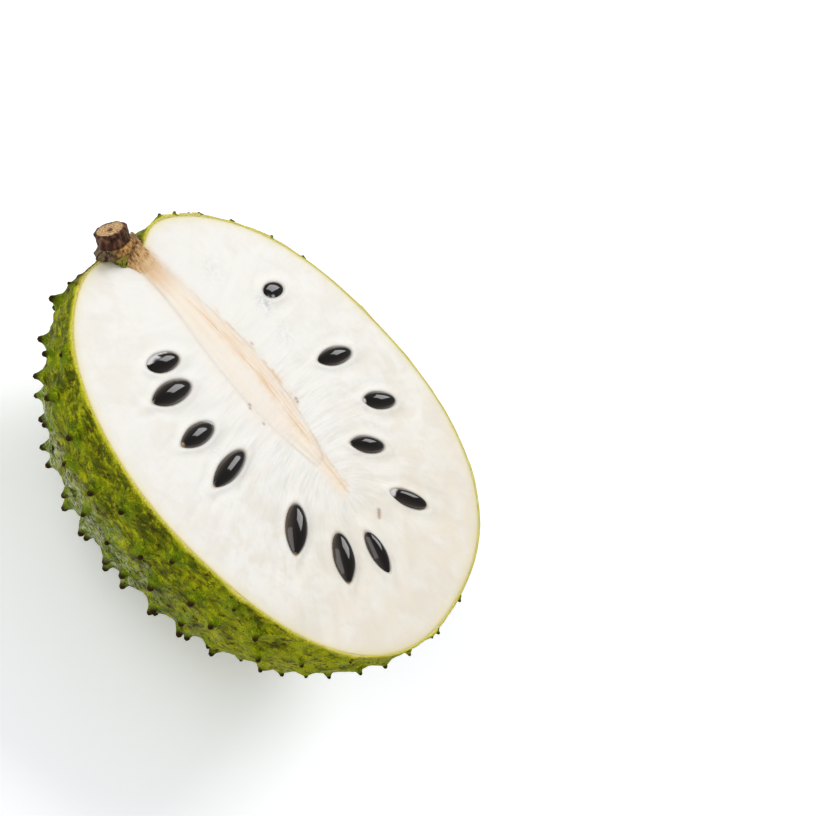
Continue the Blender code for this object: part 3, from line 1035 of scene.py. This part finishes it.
def make_spines(rind):
    """A spine on every flare below the cut."""
    feet, outward = kept_spines()
    chance = random.Random(21)
    size = [chance.uniform(*SPINE_SIZES) for _ in feet] * fullness(feet)
    sunk = feet + outward * (SPINE_ROOT * rind.flare * fullness(feet))[:, None]
    at_rim = on_fruit(ways_at(np.radians(RIM_SPINES), -RIM_SPINE_DROP))
    feet = np.concatenate((feet, at_rim))
    spines = grown(
        "spines",
        np.concatenate((sunk, at_rim)),
        shoot_tree(),
        {
            "Height": rind.spine_height - SPINE_ROOT * rind.flare,
            "Foot Radius": SPINE_FOOT,
            "Neck Radius": rind.neck,
            "Knob Radius": rind.knob,
            "Hook": rind.hook,
            "Seed": 5,
            "Sides": 10,
            "Skin": bpy.data.materials["waxy_spined_skin"],
        },
        outward=np.concatenate((outward, outward_at(at_rim))),
        size=np.concatenate((size, np.full(len(at_rim), RIM_SPINE_SIZE))),
        edge=np.exp(feet[:, 2] / EDGE_FADE) * 0.8,
        near_spine=np.full(len(feet), 0.8),
        # The spines get the skin's painted sheen too
        low=0.4 * painted_sheen_share(feet),
        # The spines get the skin's painted light towards the blossom end too
        ripe=0.5 * painted_light_share(feet),
        scab=scab_share(feet),
    )
    floor = MIDDLE.z + FLOOR
    for vert in spines.data.vertices:
        vert.co.z = max(vert.co.z, floor)
    return spines


# ---------------------------------------------------------------- pulp and core

PULP_GRID = 276
PULP_EDGE = 0.75 * MM  # how far inside the skin the pulp starts on the cut face
PULP_RING = 0.12 * MM  # from there to the last ring of the face's own grid
PULP_DROP = 0.07 * MM  # how far the pulp's edge lies under the cut's plane
PULP_TUCK = 0.15 * MM  # how far the pulp's side reaches into the rind
CORE_RINGS = 190
CORE_SIDES = 44


def marks_share(flat, marks):
    """How strong round marks of the cut face are at points on it."""
    share = np.zeros(len(flat))
    for x, y, radius, strength in marks:
        off = np.linalg.norm(flat - np.array((x, y)) * MM, axis=1)
        share = np.maximum(share, strength * bell(off, radius * MM))
    return share


def face_shares(flat):
    """Colour shares of the cut face at points on it, and their ways along the fibres and the core."""
    level = on_level(flat)
    x = flat[:, 0]
    share, off_middle, half_width = from_core(flat)
    across = off_middle / np.maximum(half_width, 3.3 * MM)
    ragged = across + 0.25 * bumps(level, 4 * MM, 31) + 0.15 * bumps(level, 1.3 * MM, 32)
    to_tip = CORE_TIP.x + 1.5 * MM * (1 + 2 * bumps(level, 1.5 * MM, 34)) - x
    before_tip = smooth_step(to_tip, 0, 3 * MM)
    mid_length = smooth_step(14 * MM - np.abs(x + 18 * MM), -14 * MM, 10 * MM)
    peach = 0.9 * before_tip * bell(ragged, 1.02, np.where(ragged < 0, 2.4, 4))
    peach *= 1 - 0.5 * bell(ragged + 0.25, 0.35) * mid_length
    line = 0.45 * smooth_step(ragged, -0.05, 0.35) * (1 - smooth_step(ragged, 0.8, 1.1))
    line += 0.7 * bell(across - 0.32, 0.1) + 0.6 * bell(ragged - 0.92, 0.12)
    line += 0.12 * bell(ragged + 0.92, 0.15)
    line *= before_tip * smooth_step(x, -60 * MM, -35 * MM)
    root = 1 - smooth_step(x, CORE_START.x - 4 * MM, CORE_START.x + 15 * MM)
    edge = on_fruit(ways_at(np.arctan2(flat[:, 1], x)), PULP_EDGE)
    from_edge = np.linalg.norm(edge, axis=1) - np.linalg.norm(flat, axis=1)
    cream = 0.35 * np.exp(-from_edge / (3 * MM)) + 0.55 * smooth_step(x, 5 * MM, 75 * MM)
    nearest_seed = np.min([off_seed(flat, seed) for seed in SEEDS], axis=0)
    fibres = fibre_way(flat)
    silk = bell(fibres[:, 0] - 14 * MM, 20 * MM) * smooth_step(x, -60 * MM, 20 * MM)
    silk = 0.08 + 0.9 * silk * (1 + bumps(level, 9 * MM, 35))
    outer = smooth_step(fibres[:, 0], 12 * MM, 38 * MM)
    return {
        "fibre": fibres,
        "core_way": np.column_stack((x, off_middle, 0 * share)),
        "cream": np.clip(cream * (1 + 0.9 * bumps(level, 7 * MM, 33)), 0, 1),
        "peach": np.clip(peach, 0, 1),
        "tan": np.clip(0.7 * line, 0, 1),
        "root": np.clip(root * bell(ragged, 1.15, 4), 0, 1),
        "rim": np.exp(-np.maximum(from_edge, 0) / (1.0 * MM)),
        # Painted contact shadow in a narrow ring round each seed
        "seed_contact_shadow": bell(np.maximum(nearest_seed, 0), 0.35 * MM),
        "fleck": marks_share(flat, FLECKS),
        "silk": np.clip(silk, 0, 1),
        "juicy": outer * (0.35 + 0.45 * smooth_step(x, -30 * MM, 60 * MM)),
        # Spots of painted shade
        "painted_shade_spot": marks_share(flat, PAINTED_SHADE_SPOTS),
    }


def make_flesh(pulp):
    """The cut face with its fibres, seed sockets and swollen edge, and the pulp's body under it."""
    disc, faces, rim = disc_grid(PULP_GRID)
    ways = ways_at(np.arctan2(disc[:, 1], disc[:, 0]))
    edge = on_fruit(ways, PULP_EDGE + PULP_RING)[:, :2]
    share = np.minimum(np.linalg.norm(disc, axis=1), 1)
    flat = edge * share[:, None]
    from_edge = (1 - share) * np.linalg.norm(edge, axis=1)
    height = face_height(flat, pulp) * smooth_step(from_edge, 0, 3 * MM)
    height += 0.05 * MM * smooth_step(from_edge, 0, 1.2 * MM) - PULP_DROP
    top = np.column_stack((flat, height))

    lip = on_fruit(ways[rim], PULP_EDGE)
    lip[:, 2] += height[rim] - 0.02 * MM
    turns = math.pi / 2 * (np.arange(INNER_RINGS + 1) + 0.12) / (INNER_RINGS + 1.5)
    wall = bowl_rings(ways[rim], turns, RIND - PULP_TUCK)
    points, faces, _ = hang_bowl(top, faces, rim, [lip, *wall])

    extra = len(points) - len(top) - len(rim)
    shares = {
        label: np.concatenate((values, values[rim], np.zeros((extra, *values.shape[1:]))))
        for label, values in face_shares(flat).items()
    }
    return mesh_piece("flesh", points, faces, "wet_fibrous_pulp", **shares)


def make_core(pulp):
    """The spindle of the core, whose top runs into the pulp beside it without a step."""
    lengths = np.linspace(0, 1, CORE_RINGS + 1)
    sides = np.sin(np.linspace(-math.pi / 2, math.pi / 2, CORE_SIDES + 1))
    share, across = (grid.ravel() for grid in np.meshgrid(lengths, sides, indexing="ij"))
    middle, half_width = core_line(share)
    flat = np.column_stack((middle[:, 0], middle[:, 1] + half_width * across))
    # Towards its tip the core sinks under the pulp
    proud = CORE_PROUD * (1 - np.abs(across) ** 6) * (1 - smooth_step(share, 0.8, 0.92))
    proud -= 0.05 * MM + 0.3 * MM * smooth_step(share, 0.86, 0.96)
    top = np.column_stack((flat, face_height(flat, pulp) + proud))
    deep = 0.3 * MM + CORE_DEPTH * half_width / (CORE_STALK_HALF_WIDTH + CORE_BELLY)
    below = top.copy()
    below[:, 2] -= deep * np.sqrt(np.clip(1 - across**2, 0.002, 1))
    faces = slab_faces(CORE_RINGS + 1, CORE_SIDES + 1)
    shares = {
        label: np.concatenate((values, values)) for label, values in face_shares(flat).items()
    }
    return mesh_piece("core", np.concatenate((top, below)), faces, "wet_fibrous_pulp", **shares)


# ---------------------------------------------------------------- seeds

SEED_RINGS = 40
SEED_SIDES = 36

# Pulp that clings to some seeds: the side that it covers, along and across the seed, and how far
# out it starts
FILMS = {
    1: (-0.5, 0.85, 0.4),
    3: (0.9, 0.35, 0.62),
    8: (-1.0, 0.25, 0.6),
    10: (-1.0, 0.0, 0.66),
    12: (-0.35, -0.9, 0.45),
}


def make_seed(number, seed):
    """A flattened drop with a fine ridge round its edge, a grey-brown band of painted reflection on its
    sides and a scar at its pointed end.
    """
    _, _, _, length, width, _, _ = seed
    half = np.array((length * MM, width * MM, SEED_THICKNESS)) / 2
    ends = -np.cos(np.linspace(0, math.pi, SEED_RINGS + 1))[1:-1]
    turns = 2 * math.pi * np.arange(SEED_SIDES) / SEED_SIDES
    end, turn = (grid.ravel() for grid in np.meshgrid(ends, turns, indexing="ij"))
    slim = np.sqrt(1 - end**2) * (1 - SEED_POINTEDNESS * np.maximum(0, -end) ** 2)
    slim *= 1 + SEED_SEAM * bell(np.sin(turn), 0.16)
    points = np.column_stack((end, np.cos(turn) * slim, np.sin(turn) * slim))
    points = np.concatenate((points, [(-1, 0, 0), (1, 0, 0)])) * half
    points += points * SEED_UNEVENNESS * bumps(points + 0.05 * number, 6 * MM, 41)[:, None]
    # Grey-brown painted reflection of the pulp on the seed's steep sides
    seam = np.concatenate((bell(np.abs(np.sin(turn)) - 0.34, 0.36), (0.5, 0.5)))
    pale_line = np.concatenate((0.4 * bell(np.sin(turn), 0.12), (0, 0)))
    pointed_end = 0.8 * smooth_step(-points[:, 0] / half[0], 0.92, 0.98)
    along, across, start = FILMS.get(number, (0, 0, 9))
    covered = along * points[:, 0] / half[0] + across * points[:, 1] / half[1]
    covered += 0.3 * bumps(points + 0.03 * number, 1.6 * MM, 42)
    placed = np.column_stack((points, np.ones(len(points)))) @ np.array(seed_matrix(seed)).T
    return mesh_piece(
        f"seed_{number:02d}",
        placed[:, :3],
        lathe_faces(len(ends), SEED_SIDES),
        "polished_seed_coat",
        seam=seam,
        scar=np.maximum(pointed_end, pale_line),
        film=smooth_step(covered, start, start + 0.14),
    )


# ---------------------------------------------------------------- stalk

STALK_SIDES = 96
STALK_STEP = 0.32 * MM

# Half of the stalk's section, from its root to the cut end: radius and height in millimetres
STALK_SECTION = (
    (0.0, -4.6),
    (1.7, -4.6),
    (2.8, -2.0),
    (3.6, -0.4),
    (4.7, 0.8),
    (5.6, 1.8),
    (5.8, 2.8),
    (5.5, 3.7),
    (4.9, 4.3),
    (5.3, 5.0),
    (5.15, 6.5),
    (5.1, 8.0),
    (5.35, 9.1),
    (5.0, 9.6),
    (0.0, 9.6),
)


def make_stem(stalk):
    """The stub with its flared collar, furrowed bark and cut end."""
    corners = np.array(STALK_SECTION) * MM
    run = np.concatenate(([0], np.cumsum(np.linalg.norm(np.diff(corners, axis=0), axis=1))))
    steps = np.arange(0.15 * MM, run[-1] - 0.1 * MM, STALK_STEP)
    turns = 2 * math.pi * np.arange(STALK_SIDES) / STALK_SIDES
    step, turn = (grid.ravel() for grid in np.meshgrid(steps, turns, indexing="ij"))
    r = np.interp(step, run, corners[:, 0])
    h = np.interp(step, run, corners[:, 1])
    cut = (step > run[-2]).astype(float)
    side = np.column_stack((np.cos(turn), np.sin(turn)))
    bark = np.column_stack((side * STALK_RADIUS, h))
    furrows = bumps(bark / np.array((1.6, 1.6, 6.5)), MM, 51)
    furrows += 0.5 * bumps(bark / np.array((0.8, 0.8, 2.2)), MM, 52)
    knots = bumps(bark, 5 * MM, 53)
    outer = smooth_step(r, 0.5 * STALK_RADIUS, 0.9 * STALK_RADIUS)
    turned = np.array(Vector((0, 0, 1)).rotation_difference(STALK_WAY).to_matrix())
    to_collar, to_skin = (
        side @ way[:2] / np.hypot(*way[:2])
        for way in (turned.T @ np.array(COLLAR_WAY), turned.T @ np.array(SKIN_WAY))
    )
    below_groove = 1 - smooth_step(h, 4.0 * MM, 4.5 * MM)
    collar = smooth_step(to_collar, -0.3, 0.6) * below_groove
    skin_top = h + 0.8 * MM * bumps(bark, 1.5 * MM, 58)
    skin = smooth_step(to_skin + 0.4 * bumps(bark, 2 * MM, 57), 0.1, 0.45)
    skin *= 1 - smooth_step(skin_top, 0.9 * MM, 1.6 * MM)
    bulge = collar * bell(h - 2.2 * MM, 1.3 * MM) * (1 + 0.3 * bumps(bark, 2.5 * MM, 55))
    r += (COLLAR_RADIUS - STALK_RADIUS) * bulge
    r += outer * stalk.ridge * ((1 - cut) * furrows + 0.8 * knots)
    end = np.column_stack((side * r[:, None], 0 * r))
    h += cut * (0.3 * MM * bumps(end, 1.2 * MM, 54) - 0.5 * MM * bell(r, 0.9 * MM))
    points = np.column_stack((side * r[:, None], h))
    tips = ((0, 0, corners[0, 1]), (0, 0, STALK_LENGTH - 0.5 * MM))
    points = np.concatenate((points, tips))
    woody = cut * (1 - smooth_step(r + 0.5 * MM * bumps(end, 1.5 * MM, 56), 4.1 * MM, 4.7 * MM))
    return mesh_piece(
        "stem",
        points @ turned.T + np.array(STALK_FOOT),
        lathe_faces(len(steps), STALK_SIDES),
        "dry_bark_and_cut_wood",
        bark_way=points,
        cut_end=np.concatenate((woody, (0, 1))),
        collar=np.concatenate((collar, (0, 0))),
        torn=np.concatenate((below_groove * (1 - collar), (0, 0))),
        skin=np.concatenate((skin, (0, 0))),
    )


TORN_START = Vector((-77.5, 7.6)) * MM
TORN_END = Vector((-62.5, 9.6)) * MM
TORN_STEPS = 90
TORN_DEPTH = 4.5 * MM
TORN_HALF_WIDTH = 7.2 * MM  # by the stalk
TORN_NARROWING = 3.4 * MM  # from there to the core
TORN_FIBRES = 45
FIBRE_SPREAD_AT_STALK = 7.0 * MM  # to either side of the wedge's middle
FIBRE_SPREAD_AT_CORE = 3.4 * MM


def make_torn_bed():
    """The rough wedge of torn tissue between the stalk's foot and the core."""
    steps = np.linspace(0, 1, TORN_STEPS + 1)
    u, v = (grid.ravel() for grid in np.meshgrid(steps, 2 * steps - 1, indexing="ij"))
    half_width = TORN_HALF_WIDTH - TORN_NARROWING * u
    x = TORN_START.x + (TORN_END.x - TORN_START.x) * u - 1.2 * MM * (1 - u) * v
    y = TORN_START.y + (TORN_END.y - TORN_START.y) * u + half_width * v
    flat = np.column_stack((x, y, 0 * x))
    rough = bumps(flat / np.array((4 * MM, 0.9 * MM, 1)), 1.0, 61) + 0.5 * bumps(flat, 1.1 * MM, 62)
    slope = 2.2 * (1 - u) ** 1.6 + 0.12 - 1.9 * np.abs(v) ** 3 * (1 - 0.6 * u)
    slope -= 0.9 * smooth_step(u, 0.6, 1.0)
    holes = smooth_step(bumps(flat, 2.6 * MM, 63), 0.3, 0.5) * smooth_step(0.55 - u, 0, 0.3)
    height = (slope + (0.5 - 0.42 * u) * rough - 1.6 * holes) * MM
    to_side = np.maximum(np.abs(v), np.abs(2 * u - 1))
    height -= 0.8 * MM * smooth_step(to_side, 0.93, 1.0)
    top = np.column_stack((x, y, height))
    deep = 1 * MM + (TORN_DEPTH - 1 * MM) * smooth_step(u - 0.3 * v**2, 0, 0.5)
    below = np.column_stack((x, y, -deep))
    by_stalk = 1 - smooth_step(u + 0.25 * rough, 0.05, 0.45)
    return mesh_piece(
        "torn_bed",
        np.concatenate((top, below)),
        slab_faces(TORN_STEPS + 1, TORN_STEPS + 1),
        "torn_stalk_fibres",
        # hollow: painted shade in the holes, and darker towards the stalk
        hollow=np.tile(np.maximum(0.8 * holes, 0.75 * by_stalk), 2),
        fade=np.tile(smooth_step(u + 0.2 * rough, 0.3, 0.75), 2),
    )


def make_torn_fibres():
    """Loose fibres on the wedge, from the stalk's foot towards the core."""
    chance = random.Random(33)
    points, ways, sizes = [], [], []
    for _ in range(TORN_FIBRES):
        across = chance.uniform(-0.95, 0.95)
        along = chance.uniform(0, 0.3)
        reach = FIBRE_SPREAD_AT_STALK - TORN_NARROWING * along
        start = TORN_START.lerp(TORN_END, along) + Vector((0, across * reach))
        goal = TORN_END + Vector((0, across * FIBRE_SPREAD_AT_CORE))
        way = (goal - start).normalized()
        rise = 1.6 * (1 - along) ** 1.6 - 0.5 - 1.5 * abs(across) ** 3
        points.append((start.x, start.y, rise * MM))
        ways.append((way.x, way.y, chance.uniform(-0.2, 0.2)))
        sizes.append(chance.uniform(0.4, 1.0))
    return grown(
        "torn_fibres",
        points,
        shoot_tree(),
        {
            "Height": 4.6 * MM,
            "Foot Radius": 0.5 * MM,
            "Neck Radius": 0.2 * MM,
            "Knob Radius": 0.16 * MM,
            "Hook": 0.8 * MM,
            "Seed": 8,
            "Sides": 6,
            "Skin": bpy.data.materials["torn_stalk_fibres"],
        },
        outward=ways,
        size=sizes,
        hollow=[chance.uniform(0, 0.2) for _ in points],
    )


# ---------------------------------------------------------------- stage

FLOOR_HALF = 4.0  # metres
SOFTBOX_DISTANCE = 2.2  # metres

# The point that the camera looks at, to the right of and above the middle of the cut face
AIM_RIGHT = 40.66 * MM
AIM_UP = 6.04 * MM


def make_softbox(name, way, size, power, mirrored=True):
    light = bpy.data.lights.new(name, "AREA")
    light.shape = "SQUARE"
    light.size = size
    light.energy = power
    lamp = linked(name, light)
    way = Vector(way).normalized()
    turn = way.to_track_quat("Z", "Y").to_matrix().to_4x4()
    lamp.matrix_world = Matrix.Translation(MIDDLE + way * SOFTBOX_DISTANCE) @ turn
    lamp.visible_glossy = mirrored


def make_stage(stage):
    """Pale floor, three softboxes, a dim white room and the camera."""
    scene = bpy.context.scene
    scene.view_settings.view_transform = "Standard"
    corners = [(x * FLOOR_HALF, y * FLOOR_HALF, 0) for x, y in ((-1, -1), (1, -1), (1, 1), (-1, 1))]
    mesh = bpy.data.meshes.new("floor")
    mesh.from_pydata(corners, [], [(0, 1, 2, 3)])
    tree, shader = new_finish("pale_studio_floor")
    paint = opaque(stage.floor)
    glow = {"Emission Color": paint, "Emission Strength": stage.glow}
    set_inputs(tree, shader, {"Base Color": paint, "Roughness": 0.8, **glow})
    mesh.materials.append(bpy.data.materials["pale_studio_floor"])
    linked("floor", mesh)

    world = bpy.data.worlds.new("white_room")
    world.use_nodes = True
    room = {"Color": (1, 1, 1, 1), "Strength": stage.surround}
    set_inputs(world.node_tree, world.node_tree.nodes["Background"], room)
    scene.world = world
    make_softbox("key_softbox", (0.0, 0.73, 0.68), 1.3, stage.key_power)
    make_softbox("fill_softbox", (-0.72, -0.68, 0.42), 3.0, stage.fill_power)
    make_softbox("top_softbox", (-0.15, 0, 1), 3.0, stage.top_power, mirrored=False)

    right = CAMERA_UP.cross(CAMERA_WAY).normalized()
    up = CAMERA_WAY.cross(right)
    place = MIDDLE + CAMERA_WAY * CAMERA_DISTANCE
    aim = MIDDLE + right * AIM_RIGHT + up * AIM_UP
    back = (place - aim).normalized()
    side = up.cross(back).normalized()
    turn = Matrix((side, back.cross(side), back)).transposed()
    lens = bpy.data.cameras.new("camera")
    lens.lens = stage.lens
    lens.sensor_width = 36
    camera = linked("camera", lens)
    camera.matrix_world = Matrix.Translation(place) @ turn.to_4x4()
    scene.camera = camera


# ---------------------------------------------------------------- operators and panel


class SOURSOP_OT_stage(bpy.types.Operator):
    """Make the pale floor, the soft studio lights and the camera"""

    bl_idname = "soursop.stage"
    bl_label = "Stage"

    def execute(self, context):
        make_stage(context.scene.soursop_stage)
        return {"FINISHED"}


class SOURSOP_OT_rind(bpy.types.Operator):
    """Make the green skin, its cut edge and its spines"""

    bl_idname = "soursop.rind"
    bl_label = "Rind and Spines"

    def execute(self, context):
        rind = context.scene.soursop_rind
        skin_material(rind)
        settle(make_rind(rind), "rind", "rind")
        settle(make_spines(rind), "rind")
        return {"FINISHED"}


class SOURSOP_OT_pulp(bpy.types.Operator):
    """Make the white pulp and the core that runs down its middle"""

    bl_idname = "soursop.pulp"
    bl_label = "Pulp and Core"

    def execute(self, context):
        pulp = context.scene.soursop_pulp
        pulp_material(pulp)
        settle(make_flesh(pulp), "flesh", "flesh")
        settle(make_core(pulp), "core", "core")
        return {"FINISHED"}


class SOURSOP_OT_seeds(bpy.types.Operator):
    """Make the glossy seeds, each in its socket"""

    bl_idname = "soursop.seeds"
    bl_label = "Seeds"

    def execute(self, context):
        seed_material(context.scene.soursop_seeds)
        for number, seed in enumerate(SEEDS, start=1):
            settle(make_seed(number, seed), "seed", f"seed_{number:02d}")
        return {"FINISHED"}


class SOURSOP_OT_stalk(bpy.types.Operator):
    """Make the woody stub of the stalk"""

    bl_idname = "soursop.stalk"
    bl_label = "Stalk"

    def execute(self, context):
        stalk = context.scene.soursop_stalk
        bark_material(stalk)
        torn_material(stalk)
        settle(make_stem(stalk), "bark", "stem")
        settle(make_torn_bed(), None)
        settle(make_torn_fibres(), None)
        return {"FINISHED"}


OPERATORS = (
    SOURSOP_OT_stage,
    SOURSOP_OT_rind,
    SOURSOP_OT_pulp,
    SOURSOP_OT_seeds,
    SOURSOP_OT_stalk,
)


class SOURSOP_PT_parts(bpy.types.Panel):
    """Lists the soursop's pieces with their settings"""

    bl_idname = "SOURSOP_PT_parts"
    bl_label = "Soursop Half"
    bl_space_type = "VIEW_3D"
    bl_region_type = "UI"
    bl_category = "Soursop"

    def draw(self, context):
        for operator in OPERATORS:
            self.layout.operator(operator.bl_idname)
        for name, group in SETTINGS.items():
            box = self.layout.box()
            box.label(text=group.__doc__)
            for label in group.__annotations__:
                box.prop(getattr(context.scene, name), label)


def register():
    for group in SETTINGS.values():
        bpy.utils.register_class(group)
    for name, group in SETTINGS.items():
        setattr(bpy.types.Scene, name, PointerProperty(type=group))
    for operator in OPERATORS:
        bpy.utils.register_class(operator)
    bpy.utils.register_class(SOURSOP_PT_parts)


def unregister():
    bpy.utils.unregister_class(SOURSOP_PT_parts)
    for operator in reversed(OPERATORS):
        bpy.utils.unregister_class(operator)
    for name in SETTINGS:
        delattr(bpy.types.Scene, name)
    for group in reversed(SETTINGS.values()):
        bpy.utils.unregister_class(group)


def main():
    register()
    bpy.ops.soursop.stage()
    bpy.ops.soursop.rind()
    bpy.ops.soursop.pulp()
    bpy.ops.soursop.seeds()
    bpy.ops.soursop.stalk()


if __name__ == "__main__":
    main()
